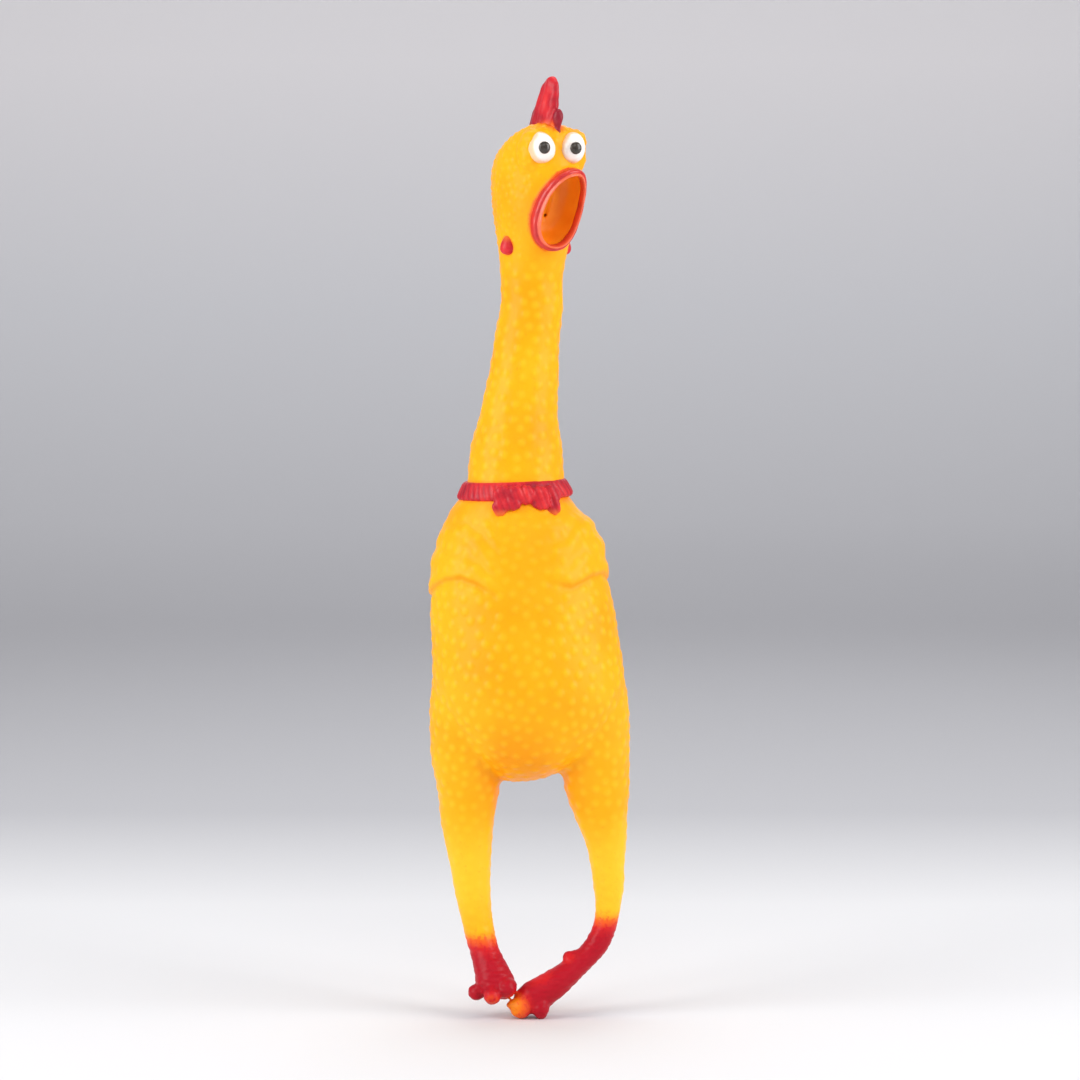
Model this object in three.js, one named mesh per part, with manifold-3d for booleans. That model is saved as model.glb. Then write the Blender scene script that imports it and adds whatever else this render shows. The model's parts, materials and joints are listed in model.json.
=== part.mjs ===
// A rubber chicken: a hollow toy of soft yellow vinyl that screams through a reed when its belly is squeezed.
// The vinyl is one moulding on the real toy. Here it is divided where it flexes, so each length can turn on its own.
// Millimetres, +Z up, the chicken faces -Y. The origin is the middle of the neck, where a hand holds it.
// Left and right are the chicken's own, so its right leg is on the -X side.
import * as THREE from "three";
import { mergeVertices } from "three/addons/utils/BufferGeometryUtils.js";
import Module from "manifold-3d";

const wasm = await Module();
wasm.setup();

// ---- Driving dimensions ----
const WALL = 2.4; // thickness of the vinyl
const GAP = 0.3; // between pieces that touch on the real toy
const HEAD_YAW = 30; // degrees the head is turned to its left
const NECK_TOP_X = 3.4; // the neck leans a little to its left on the way up
const BOW_X = 1.5; // the chest is turned a little too, so its bow sits to one side

// Heights of the flats that bound each flexing zone, and of the turning plane in the neck.
const HEAD_NOD = { top: 34, bottom: 24 };
const NECK_TWIST = 12;
const NECK_SWAY = { top: -15, bottom: -27 };
const NECK_BEND = { top: -35, bottom: -49 };
const HIP = { top: -176.5, bottom: -187.5 };
const KNEE = { top: -205, bottom: -213 };
const ANKLE = { top: -228.5, bottom: -236.5 };

const COLLAR = { top: -48.4, bottom: -56.4, stand: 2.2 };
const BELLY_PANEL = { x: 1, z: -122, halfWidth: 25, halfHeight: 32 };

// The mouth is an oval that faces forward and a little down. Depths in it count outward from its lip.
const MOUTH = { forward: 25, z: 67.7, tilt: 16, halfWidth: 12.8, halfHeight: 17.9, lip: 4.7, depth: 15 };
const EYE = { x: 7.45, forward: 21.5, z: 93.4, rx: 5.6, ry: 6, rz: 6.7, back: -21.2 };

// The squeaker stands upright in the throat. Its reed hangs from a hinge line near the top of a grooved block.
const SQUEAKER = { top: 53, bottom: 36.8, radius: 7, bore: 5.7, flange: 10 };
const REED = { width: 6, thick: 0.4, top: 48, bottom: 38.6, front: -0.75 };

// ---- Materials ----
const finish = (color, roughness) => new THREE.MeshStandardMaterial({ color, roughness, metalness: 0 });
const YELLOW = finish(0xffb91c, 0.45);
const RED = finish(0xc9283a, 0.4);
const ORANGE = finish(0xe98a1c, 0.4);
const WHITE = finish(0xf6f0ec, 0.25);
const BLACK = finish(0x2a2523, 0.2);
const IVORY = finish(0xe9e3d2, 0.5);
const FILM = finish(0xb9cdd6, 0.3);

// ---- Solids ----
// A closed three.js geometry as a solid that can be joined and cut.
function solid(geometry) {
  const bare = geometry.clone();
  bare.deleteAttribute("normal");
  bare.deleteAttribute("uv");
  const merged = mergeVertices(bare, 1e-4);
  return new wasm.Manifold(
    new wasm.Mesh({
      numProp: 3,
      vertProperties: merged.attributes.position.array,
      triVerts: new Uint32Array(merged.index.array),
    }),
  );
}

function geometryOf(body) {
  const mesh = body.getMesh();
  const geometry = new THREE.BufferGeometry();
  geometry.setAttribute("position", new THREE.BufferAttribute(mesh.vertProperties, 3));
  geometry.setIndex(new THREE.BufferAttribute(mesh.triVerts, 1));
  geometry.computeVertexNormals();
  return geometry;
}

// A closed form through sections {x, y, z, rx, ry}. A level section lies flat; otherwise it is square to the line.
function loft(sections, sides, rings, level = true) {
  const line = new THREE.CatmullRomCurve3(sections.map((s) => new THREE.Vector3(s.x, s.y ?? 0, s.z)));
  const girth = new THREE.CatmullRomCurve3(sections.map((s) => new THREE.Vector3(s.rx, s.ry, 0)));
  const travel = Math.sign(sections.at(-1).z - sections[0].z);
  const geometry = new THREE.CylinderGeometry(1, 1, 1, sides, rings);
  const points = geometry.attributes.position;
  for (let i = 0; i < points.count; i++) {
    const t = THREE.MathUtils.clamp(points.getY(i) + 0.5, 0, 1);
    const centre = line.getPoint(t);
    const size = girth.getPoint(t);
    const along = level ? new THREE.Vector3(0, 0, travel) : line.getTangent(t);
    const side = new THREE.Vector3(along.z, 0, -along.x).normalize();
    const back = new THREE.Vector3().crossVectors(along, side);
    centre.addScaledVector(side, points.getX(i) * size.x);
    centre.addScaledVector(back, -points.getZ(i) * size.y);
    points.setXYZ(i, centre.x, centre.y, centre.z);
  }
  return solid(geometry);
}

// The same sections, grown by an amount all round, or shrunk where it is negative.
const grown = (sections, by) =>
  sections.map((s) => ({ ...s, rx: Math.max(s.rx + by, 0.6), ry: Math.max(s.ry + by, 0.6) }));

// Everything between two heights.
function slab(low, high) {
  const wide = 400;
  return solid(new THREE.BoxGeometry(wide, wide, high - low).translate(0, 0, (low + high) / 2));
}

// Everything in front of a depth.
function inFrontOf(y) {
  const wide = 400;
  return solid(new THREE.BoxGeometry(wide, wide, 2 * wide).translate(0, y - wide / 2, 0));
}

function ellipsoid(x, y, z, rx, ry, rz, around = 14, down = 10) {
  return solid(new THREE.SphereGeometry(1, around, down).scale(rx, ry, rz).translate(x, y, z));
}

// A round bar standing on Z.
function bar(x, y, low, high, radius, sides = 20) {
  const upright = new THREE.CylinderGeometry(radius, radius, high - low, sides).rotateX(Math.PI / 2);
  return solid(upright.translate(x, y, (low + high) / 2));
}

// A flat outline drawn in one of the part's upright planes, given depth along that plane's normal.
// The outline's x runs along "across", its y runs up, and the depth is centred on the origin.
function upright(shape, across, depth, curveSegments = 8) {
  const up = new THREE.Vector3(0, 0, 1);
  const normal = new THREE.Vector3().crossVectors(across, up);
  const slice = new THREE.ExtrudeGeometry(shape, { depth, bevelEnabled: false, curveSegments });
  slice.translate(0, 0, -depth / 2);
  return solid(slice.applyMatrix4(new THREE.Matrix4().makeBasis(across, up, normal)));
}

const TO_LEFT = new THREE.Vector3(1, 0, 0);
const FORWARD = new THREE.Vector3(0, -1, 0);

function outline(points) {
  return new THREE.Shape(points.map(([x, y]) => new THREE.Vector2(x, y)));
}

const chicken = new THREE.Group();
const headGroup = new THREE.Group();
headGroup.position.x = NECK_TOP_X;
headGroup.rotation.z = THREE.MathUtils.degToRad(HEAD_YAW);
chicken.add(headGroup);

function add(name, made, material, group = chicken) {
  const mesh = new THREE.Mesh(geometryOf(made), material);
  mesh.name = name;
  group.add(mesh);
}

// ---- The vinyl skin from the neck to the feet ----
const TRUNK = [
  { z: 48, x: 3.6, rx: 13.2, ry: 13.0 },
  { z: 30, x: 3.3, rx: 13.0, ry: 12.8 },
  { z: 10, x: 0.9, rx: 14.0, ry: 13.4 },
  { z: -10, x: -1.5, rx: 15.5, ry: 14.8 },
  { z: -30, x: -3.0, rx: 19.0, ry: 17.8 },
  { z: -46, x: -3.6, rx: 21.6, ry: 20.0 },
  { z: -54.5, x: -3.6, rx: 22.8, ry: 21.0 },
  { z: -60, x: -1.6, rx: 29.8, ry: 23.5, y: -0.5 },
  { z: -71, x: -1.8, rx: 35.0, ry: 26, y: -1 },
  { z: -88, x: -1.6, rx: 37.5, ry: 28.5, y: -2 },
  { z: -112, x: 0.4, rx: 39.6, ry: 31.0, y: -3 },
  { z: -134, x: 2.3, rx: 40.8, ry: 32.0, y: -3.5 },
  { z: -150, x: 2.7, rx: 35.0, ry: 30.0, y: -3 },
  { z: -162, x: 2.6, rx: 24.0, ry: 24.0, y: -2 },
  { z: -169, x: 2.5, rx: 13.0, ry: 15.0, y: -1 },
  { z: -171.5, x: 2.5, rx: 3.0, ry: 4.0, y: -1 },
];
const RIGHT_LEG = [
  { z: -118, x: -19, rx: 12, ry: 14 },
  { z: -132, x: -21, rx: 17, ry: 19, y: -1 },
  { z: -148, x: -22.6, rx: 17.4, ry: 19.5, y: -1 },
  { z: -163, x: -24.2, rx: 15.4, ry: 16.8, y: -0.5 },
  { z: -179, x: -23.6, rx: 13.0, ry: 13.4 },
  { z: -199, x: -23.8, rx: 10.2, ry: 10.6 },
  { z: -220, x: -22.1, rx: 7.7, ry: 8.2 },
  { z: -240, x: -18.9, rx: 6.5, ry: 6.6 },
];
const LEFT_LEG = [
  { z: -118, x: 24, rx: 12, ry: 14 },
  { z: -132, x: 26, rx: 17, ry: 19, y: -1 },
  { z: -148, x: 27.4, rx: 17.2, ry: 19.5, y: -1 },
  { z: -163, x: 29.8, rx: 15.4, ry: 16.8, y: -0.5 },
  { z: -179, x: 31.5, rx: 13.2, ry: 13.4 },
  { z: -199, x: 34.9, rx: 9.0, ry: 9.6 },
  { z: -220, x: 36.2, rx: 6.4, ry: 6.9 },
  { z: -240, x: 33.8, rx: 5.0, ry: 5.8 },
];

const trunk = (by) => loft(grown(TRUNK, by), 18, 17);
const leg = (sections, by) => loft(grown(sections, by), 12, 8);
const skin = (by) => trunk(by).add(leg(RIGHT_LEG, by)).add(leg(LEFT_LEG, by));
const pouchFloor = TRUNK.at(-1).z + WALL;
const trunkInside = trunk(-WALL).intersect(slab(pouchFloor, 100));
const bodyOutside = skin(0);
const bodyShell = bodyOutside.subtract(trunkInside.add(leg(RIGHT_LEG, -WALL)).add(leg(LEFT_LEG, -WALL)));
const neckShell = trunk(0).subtract(trunkInside);

// A length of a shell between two heights. A flexing zone is shorter by a gap at each end.
const length = (shell, top, bottom) => shell.intersect(slab(bottom, top));
const zone = (shell, ends) => length(shell, ends.top - GAP, ends.bottom + GAP);

add("head_nod_zone", zone(neckShell, HEAD_NOD), YELLOW);
add("upper_neck_skin", length(neckShell, HEAD_NOD.bottom, NECK_TWIST + GAP), YELLOW);
add("neck_skin", length(neckShell, NECK_TWIST, NECK_SWAY.top), YELLOW);
add("neck_sway_zone", zone(neckShell, NECK_SWAY), YELLOW);
add("lower_neck_skin", length(neckShell, NECK_SWAY.bottom, NECK_BEND.top), YELLOW);
add("neck_bend_zone", zone(neckShell, NECK_BEND), YELLOW);

// The front of the belly is the wall that a hand presses in. It slides straight back, so it is cut straight back.
function panelPrism(inset) {
  const { x, z, halfWidth, halfHeight } = BELLY_PANEL;
  const oval = new THREE.Shape().absellipse(x, z, halfWidth - inset, halfHeight - inset, 0, 2 * Math.PI);
  return upright(oval, TO_LEFT, 200, 20).intersect(inFrontOf(0));
}
const torsoShell = length(bodyShell, NECK_BEND.bottom, HIP.top);
add("torso_shell", torsoShell.subtract(panelPrism(0)), YELLOW);
add("belly_panel", torsoShell.intersect(panelPrism(GAP)), YELLOW);

// ---- What stands on the torso ----
const onTorso = skin(GAP);
const collarOutside = trunk(COLLAR.stand).intersect(slab(COLLAR.bottom, COLLAR.top));
add("collar", collarOutside.subtract(onTorso), RED);

const bowOutline = outline([
  [-15.5, -48.2], [-12, -50], [-6, -50.6], [-2, -49.4], [2, -49.4], [6, -50.6], [12, -50], [15.5, -48.2],
  [14.6, -54], [11.5, -60.2], [6, -57.6], [0, -57.2], [-6, -57.6], [-11.5, -60.2], [-14.6, -54],
].reverse().map(([x, z]) => [x + BOW_X, z]));
const onCollar = trunk(COLLAR.stand + GAP).intersect(slab(COLLAR.bottom - GAP, COLLAR.top + 2)).add(onTorso);
const BOW_STAND = 2.2;
const bow = upright(bowOutline, TO_LEFT, 200).intersect(inFrontOf(0)).intersect(trunk(COLLAR.stand + BOW_STAND));
add("collar_bow", bow.subtract(onCollar), RED);

// A wing is a raised patch of the skin that wraps from the flank to the chest and ends in a tip.
const WING_STAND = 2.6;
function wing(side) {
  const reach = new THREE.SphereGeometry(1, 16, 10).scale(30, 33, 19).rotateX(-0.28);
  return skin(WING_STAND).subtract(onTorso).intersect(solid(reach.translate(side * 38, -6, -78)));
}
add("right_wing", wing(-1), YELLOW);
add("left_wing", wing(1), YELLOW);

const tailNub = ellipsoid(2, 30, -148, 9, 11, 12).subtract(onTorso);
add("tail", tailNub, YELLOW);

// ---- Legs and feet ----
const RIGHT_FOOT = [
  { z: -230, x: -20.7, rx: 7.0, ry: 7.3 },
  { z: -236.5, x: -19.6, rx: 6.6, ry: 6.9, y: -0.2 },
  { z: -245, x: -17.4, rx: 6.0, ry: 6.8, y: -1.5 },
  { z: -252, x: -15.4, rx: 6.6, ry: 8, y: -4 },
  { z: -259, x: -12.7, rx: 8.2, ry: 9.5, y: -7 },
  { z: -264.5, x: -12.2, rx: 7.2, ry: 8, y: -9 },
  { z: -267.5, x: -12.3, rx: 3.2, ry: 3.6, y: -10 },
];
const LEFT_FOOT = [
  { z: -229, x: 35.9, rx: 5.6, ry: 6.2 },
  { z: -236.5, x: 34.7, rx: 5.1, ry: 5.9 },
  { z: -243.5, x: 31.2, rx: 4.9, ry: 6.0, y: -1 },
  { z: -250, x: 25.8, rx: 4.7, ry: 6.2, y: -2.5 },
  { z: -256.6, x: 18.5, rx: 5.2, ry: 7.0, y: -4.5 },
  { z: -262.3, x: 10.8, rx: 6.2, ry: 7.6, y: -6.5 },
  { z: -266.6, x: 4.4, rx: 6.2, ry: 6.5, y: -8 },
  { z: -268.6, x: 1.4, rx: 3.6, ry: 4.0, y: -8.5 },
];
// Toes {x, y, z, rx, ry, rz}: rounded lobes on the end of each foot and a spur behind.
const RIGHT_TOES = [
  { x: -19.6, y: -7, z: -264.4, rx: 3.8, ry: 5, rz: 3.6 },
  { x: -13.2, y: -14.5, z: -263.6, rx: 4.2, ry: 5.5, rz: 4.2 },
  { x: -8.4, y: -12, z: -261, rx: 3.9, ry: 5, rz: 4.4 },
];
const LEFT_TOES = [
  { x: 1.2, y: -10.5, z: -269.6, rx: 4.9, ry: 5.2, rz: 5.4 },
  { x: 7.8, y: -11.5, z: -270.3, rx: 3.6, ry: 4.6, rz: 5.4 },
  { x: 19.4, y: -2.5, z: -250.2, rx: 3.2, ry: 3.4, rz: 3.4 },
];

function foot(sections, toes) {
  const inside = loft(grown(sections.slice(0, -1), -WALL), 10, 6, false);
  let made = loft(sections, 12, 11, false);
  for (const toe of toes) made = made.add(ellipsoid(toe.x, toe.y, toe.z, toe.rx, toe.ry, toe.rz, 10, 6));
  return length(made.subtract(inside), ANKLE.bottom, -300);
}

for (const [side, sections, footSections, toes] of [
  ["right", RIGHT_LEG, RIGHT_FOOT, RIGHT_TOES],
  ["left", LEFT_LEG, LEFT_FOOT, LEFT_TOES],
]) {
  const shell = leg(sections, 0).subtract(leg(sections, -WALL));
  add(`${side}_hip_zone`, zone(shell, HIP), YELLOW);
  add(`${side}_thigh`, length(shell, HIP.bottom, KNEE.top), YELLOW);
  add(`${side}_knee_zone`, zone(shell, KNEE), YELLOW);
  add(`${side}_shin`, length(shell, KNEE.bottom, ANKLE.top), YELLOW);
  add(`${side}_ankle_zone`, zone(shell, ANKLE), YELLOW);
  add(`${side}_foot`, foot(footSections, toes), RED);
}

// ---- Head, built facing -Y about the neck's axis and turned by its group ----
const HEAD = [
  { z: 28, x: 0, rx: 13.0, ry: 12.8 },
  { z: 43, x: 0, rx: 13.1, ry: 13.2 },
  { z: 51, x: 0, rx: 13.8, ry: 15.5, y: -0.8 },
  { z: 61, x: 0, rx: 14.8, ry: 19.5, y: -1.5 },
  { z: 71.5, x: 0, rx: 16.0, ry: 21.5, y: -2 },
  { z: 82, x: 0, rx: 16.8, ry: 22.3, y: -2.3 },
  { z: 92, x: 0, rx: 16.2, ry: 19.5, y: -5 },
  { z: 98, x: 0, rx: 14.2, ry: 15.2, y: -9.6 },
  { z: 102, x: 0, rx: 10.6, ry: 11, y: -12 },
  { z: 105, x: 0, rx: 4.5, ry: 5.5, y: -12.5 },
];

// An oval bar along the mouth's axis, between two depths. The back end can be wider than the front.
function mouthBar(halfWidth, halfHeight, back, front, spread = 1) {
  const geometry = new THREE.CylinderGeometry(1, spread, front - back, 20);
  geometry.translate(0, (back + front) / 2, 0).scale(halfWidth, 1, halfHeight);
  geometry.rotateX(Math.PI + THREE.MathUtils.degToRad(MOUTH.tilt));
  return solid(geometry.translate(0, -MOUTH.forward, MOUTH.z));
}

function brows(by) {
  const brow = (side) => ellipsoid(side * 8.5, -20.3, 97.2, 6.4 + by, 6.4 + by, 5.6 + by, 10, 8);
  return brow(-1).add(brow(1));
}

function eyeball(side, by) {
  const whole = ellipsoid(side * EYE.x, -EYE.forward, EYE.z, EYE.rx + by, EYE.ry + by, EYE.rz + by);
  return whole.intersect(inFrontOf(EYE.back + by));
}
const muzzle = (by) => {
  const { halfWidth, halfHeight, lip } = MOUTH;
  return mouthBar(halfWidth - 0.6 + by, halfHeight - 0.6 + by, -24, -lip - GAP, 1.16);
};
const headOutside = (by) => loft(grown(HEAD, by), 18, 12).add(muzzle(by)).add(brows(by));
const headInside = loft(grown(HEAD.slice(0, -1), -WALL), 14, 9);

const lining = { halfWidth: 10.6, halfHeight: 15.7, wall: 1.6 };
const mouthHole = mouthBar(lining.halfWidth + GAP, lining.halfHeight + GAP, -30, 20);
const lipSeat = mouthBar(MOUTH.halfWidth + GAP, MOUTH.halfHeight + GAP, -MOUTH.lip - GAP, 20);
const sockets = eyeball(-1, GAP).add(eyeball(1, GAP));
const headShell = headOutside(0).subtract(headInside).subtract(mouthHole).subtract(lipSeat).subtract(sockets);
add("head_shell", headShell.intersect(slab(HEAD_NOD.top, 200)), YELLOW, headGroup);

const lipHole = mouthBar(9, 14.1, -30, 20);
const lipBase = mouthBar(MOUTH.halfWidth, MOUTH.halfHeight, -MOUTH.lip, -1.3);
const lipStep = mouthBar(MOUTH.halfWidth - 1.1, MOUTH.halfHeight - 1.1, -2, 0);
add("mouth_rim", lipBase.add(lipStep).subtract(lipHole), RED, headGroup);

// The lining is a cup with a hole low in its back, which lets air through from the throat.
const liningWall = (back) =>
  mouthBar(lining.halfWidth - lining.wall, lining.halfHeight - lining.wall, back, 20);
const lowInBack = mouthBar(3.4, 3.4, -MOUTH.depth - 2, 2 - MOUTH.depth).translate([0, 2.2, -7.7]);
const liningCup = mouthBar(lining.halfWidth, lining.halfHeight, -MOUTH.depth, -MOUTH.lip - GAP);
add("mouth_lining", liningCup.subtract(liningWall(lining.wall - MOUTH.depth)).subtract(lowInBack), ORANGE, headGroup);

// The comb is a fin with a tall point and a low lobe in front of it. The outline runs forward and up.
const combOutline = new THREE.Shape();
combOutline.moveTo(-1, 98);
combOutline.splineThru(
  [[-2, 103], [2.5, 107.5], [6.5, 114], [10.5, 120.2], [16, 124], [20.5, 123], [21.8, 119], [20.6, 112.4],
    [21, 109.6], [24, 110.2], [26.6, 107.4], [26.4, 98]].map(([x, y]) => new THREE.Vector2(x, y)),
);
combOutline.closePath();
add("comb", upright(combOutline, FORWARD, 4.8, 3).subtract(headOutside(GAP)), RED, headGroup);

const PUPIL = { radius: 2.6, stand: 0.9, glance: -1.6 };
for (const [side, sign] of [["right", -1], ["left", 1]]) {
  add(`${side}_eye`, eyeball(sign, 0), WHITE, headGroup);
  const aim = new THREE.CylinderGeometry(PUPIL.radius, PUPIL.radius, 60, 16);
  const column = solid(aim.translate(sign * EYE.x + PUPIL.glance, -30 + EYE.back, EYE.z + 0.8));
  const pupil = eyeball(sign, PUPIL.stand).subtract(eyeball(sign, GAP)).subtract(brows(GAP)).intersect(column);
  add(`${side}_pupil`, pupil, BLACK, headGroup);
  const wattle = ellipsoid(sign * 13.8, 0, 52, 2.6, 2.9, 3.8, 12, 8).subtract(headOutside(GAP));
  add(`${side}_wattle`, wattle, RED, headGroup);
}

// ---- The squeaker in the throat ----
const core = SQUEAKER.bore - GAP;
const barrelTop = SQUEAKER.top - 2;
const flange = bar(0, 0, 46.4, 48, SQUEAKER.flange, 24);
const barrel = bar(0, 0, SQUEAKER.bottom, barrelTop, SQUEAKER.radius).add(flange);
add("squeaker_barrel", barrel.subtract(bar(0, 0, 30, 60, SQUEAKER.bore)), IVORY, headGroup);

let grille = bar(0, 0, barrelTop + GAP, SQUEAKER.top, SQUEAKER.radius);
const slots = 4;
for (let i = 0; i < slots; i++) {
  const turn = (2 * Math.PI * i) / slots;
  grille = grille.subtract(bar(3.2 * Math.cos(turn), 3.2 * Math.sin(turn), 50, 60, 1.4, 8));
}
add("squeaker_grille", grille, IVORY, headGroup);

const blockBar = bar(0, 0, 38, barrelTop, core);
const groove = solid(new THREE.BoxGeometry(3.2, 6, 12).translate(0, 0, 40.5));
add("reed_block", blockBar.subtract(inFrontOf(0)).subtract(groove), IVORY, headGroup);
add("reed_wedge", bar(0, 0, 47.3, barrelTop, core).intersect(inFrontOf(REED.front - GAP)), IVORY, headGroup);
const strip = new THREE.BoxGeometry(REED.width, REED.thick, REED.top - REED.bottom);
strip.translate(0, REED.front + REED.thick / 2, (REED.top + REED.bottom) / 2);
add("reed", solid(strip), FILM, headGroup);

export default chicken;
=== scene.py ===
import json
import math
import random

import bmesh
import bpy
import numpy as np
from mathutils import Matrix, Vector, noise
from mathutils.kdtree import KDTree


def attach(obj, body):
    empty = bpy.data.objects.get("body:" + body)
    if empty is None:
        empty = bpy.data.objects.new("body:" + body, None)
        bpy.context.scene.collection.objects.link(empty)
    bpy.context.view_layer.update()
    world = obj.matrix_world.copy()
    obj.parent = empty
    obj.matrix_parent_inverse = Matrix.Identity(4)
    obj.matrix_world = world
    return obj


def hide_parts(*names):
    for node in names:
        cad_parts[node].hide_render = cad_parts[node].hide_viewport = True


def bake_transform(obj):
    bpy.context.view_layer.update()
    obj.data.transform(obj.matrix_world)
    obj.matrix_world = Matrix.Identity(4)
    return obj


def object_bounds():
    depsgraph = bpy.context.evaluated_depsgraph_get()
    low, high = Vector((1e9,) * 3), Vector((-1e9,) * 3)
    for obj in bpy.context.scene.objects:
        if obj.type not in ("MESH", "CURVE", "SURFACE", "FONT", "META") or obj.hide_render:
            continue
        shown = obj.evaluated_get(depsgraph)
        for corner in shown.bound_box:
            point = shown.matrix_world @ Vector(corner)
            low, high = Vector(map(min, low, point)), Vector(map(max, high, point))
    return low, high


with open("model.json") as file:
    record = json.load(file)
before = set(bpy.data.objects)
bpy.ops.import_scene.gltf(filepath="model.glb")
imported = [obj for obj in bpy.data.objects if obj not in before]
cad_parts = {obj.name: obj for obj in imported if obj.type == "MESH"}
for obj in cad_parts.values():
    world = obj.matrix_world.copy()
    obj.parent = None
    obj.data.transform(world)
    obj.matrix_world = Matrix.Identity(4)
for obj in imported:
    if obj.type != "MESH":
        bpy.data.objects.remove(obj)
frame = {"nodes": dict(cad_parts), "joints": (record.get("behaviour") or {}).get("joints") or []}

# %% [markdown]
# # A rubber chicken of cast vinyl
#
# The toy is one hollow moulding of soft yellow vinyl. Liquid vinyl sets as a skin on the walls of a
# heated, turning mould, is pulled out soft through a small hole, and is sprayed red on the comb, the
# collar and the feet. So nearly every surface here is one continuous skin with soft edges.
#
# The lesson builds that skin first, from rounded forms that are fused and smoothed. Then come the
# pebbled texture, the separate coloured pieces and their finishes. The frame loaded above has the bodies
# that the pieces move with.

MM = 0.001
CAD_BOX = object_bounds()
print("frame box, mm:", [[round(c / MM, 1) for c in corner] for corner in CAD_BOX])

VOXEL = 0.65 * MM
random.seed(7)

# %% [markdown]
# ## The camera, the lights and the floor
#
# A long lens keeps the feet from shrinking away, and a camera a little above the middle opens the
# collar's ring slightly. Two tall soft boxes at the sides make the bright flanks that soft vinyl shows. A
# weaker one in front keeps the middle a deeper orange, one above lights the crown, and one behind
# brightens the floor. The floor curves up into the backdrop, which leaves no hard horizon.

# %% The camera
MIDDLE = Vector((6.8, 0, -71.0)) * MM
DISTANCE = 1.6
RISE = 0.112
FRAME_HEIGHT = 0.4596
SENSOR_MM = 36


def look_at(place, target):
    return (target - place).to_track_quat("-Z", "Y").to_euler()


camera_data = bpy.data.cameras.new("camera")
camera = bpy.data.objects.new("camera", camera_data)
bpy.context.collection.objects.link(camera)
camera.location = MIDDLE + Vector((0, -DISTANCE, RISE))
camera.rotation_euler = look_at(camera.location, MIDDLE)
camera_data.sensor_width = SENSOR_MM
camera_data.lens = SENSOR_MM * (camera.location - MIDDLE).length / FRAME_HEIGHT
bpy.context.scene.camera = camera
print("lens, mm:", round(camera_data.lens, 1))

# %% Colours and lights


def rgb(code):
    """An sRGB hex code as the linear colour that a shader wants."""
    channels = [int(code[i : i + 2], 16) / 255 for i in (0, 2, 4)]
    return [c / 12.92 if c <= 0.04045 else ((c + 0.055) / 1.055) ** 2.4 for c in channels] + [1]


def soft_box(name, place, width, height, watts):
    """A white light of this size in metres, turned to the middle of the toy."""
    data = bpy.data.lights.new(name, "AREA")
    data.shape = "RECTANGLE"
    data.size = width
    data.size_y = height
    data.energy = watts
    light = bpy.data.objects.new(name, data)
    light.location = place
    light.rotation_euler = look_at(Vector(place), MIDDLE)
    bpy.context.collection.objects.link(light)


soft_box("left_box", (-1.05, -0.55, 0.34), 0.8, 1.05, 13)
soft_box("right_box", (1.05, -0.45, 0.34), 0.8, 1.05, 12)
soft_box("front_box", (0.2, -1.9, 1.1), 1.2, 0.9, 5.4)
soft_box("top_box", (0, 0.3, 1.4), 0.8, 0.8, 8)
soft_box("back_box", (0.3, 1.3, 0.7), 1.0, 0.8, 1.8)

world = bpy.data.worlds.new("studio")
bpy.context.scene.world = world
world.use_nodes = True
background = world.node_tree.nodes["Background"]
background.inputs["Color"].default_value = rgb("f0f1f4")
background.inputs["Strength"].default_value = 0.44
# The plain view transform keeps the vinyl's yellow as bright as it is.
bpy.context.scene.view_settings.view_transform = "Standard"
print("soft boxes:", len(bpy.data.lights))

# %% [markdown]
# ## Helpers for finishes and pieces
#
# Every finish below is a few nodes feeding one Principled shader, and reads like a recipe.

# %% Helpers for finishes


def add_node(material, kind, settings=None, stops=(), out=0, **sockets):
    """Adds a node and returns one of its outputs.

    A socket given another node's output is linked, and one given a value is set. Sockets are named, or
    numbered as _0 where names repeat. A colour ramp also takes its stops, each a place from 0 to 1 and a
    hex colour.
    """
    node = material.node_tree.nodes.new(kind)
    for key, value in (settings or {}).items():
        setattr(node, key, value)
    for k, (place, code) in enumerate(stops):
        stop = node.color_ramp.elements[k] if k < 2 else node.color_ramp.elements.new(place)
        stop.position = place
        stop.color = rgb(code)
    for name, value in sockets.items():
        socket = node.inputs[int(name[1:]) if name[0] == "_" else name.replace("_", " ")]
        if isinstance(value, bpy.types.NodeSocket):
            material.node_tree.links.new(value, socket)
        else:
            socket.default_value = value
    return node.outputs[out]


def new_finish(name, **sockets):
    """A material whose Principled shader has these sockets set."""
    material = bpy.data.materials.new(name)
    material.use_nodes = True
    shader = material.node_tree.nodes["Principled BSDF"]
    for socket, value in sockets.items():
        shader.inputs[socket.replace("_", " ")].default_value = value
    return material, shader


def feed(material, shader, **sockets):
    """Links nodes' outputs to the shader's sockets."""
    for socket, output in sockets.items():
        material.node_tree.links.new(output, shader.inputs[socket.replace("_", " ")])


RAMP, NOISE, BUMP = "ShaderNodeValToRGB", "ShaderNodeTexNoise", "ShaderNodeBump"
MIX, MARK, MATHS = "ShaderNodeMix", "ShaderNodeAttribute", "ShaderNodeMath"
COLOURS = {"data_type": "RGBA"}
TIMES = {"operation": "MULTIPLY", "use_clamp": True}


def as_piece(bm, name):
    mesh = bpy.data.meshes.new(name)
    bm.to_mesh(mesh)
    bm.free()
    for polygon in mesh.polygons:
        polygon.use_smooth = True
    piece = bpy.data.objects.new(name, mesh)
    bpy.context.collection.objects.link(piece)
    return piece


def fit(piece, finish, body, node):
    """Gives a piece its finish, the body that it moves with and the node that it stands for."""
    piece.data.materials.append(finish)
    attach(piece, body)
    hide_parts(node)
    print(piece.name, len(piece.data.polygons), "faces, moves with the", body)


print("helpers made for nodes, finishes and pieces")

# %% A recipe that most finishes share


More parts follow.
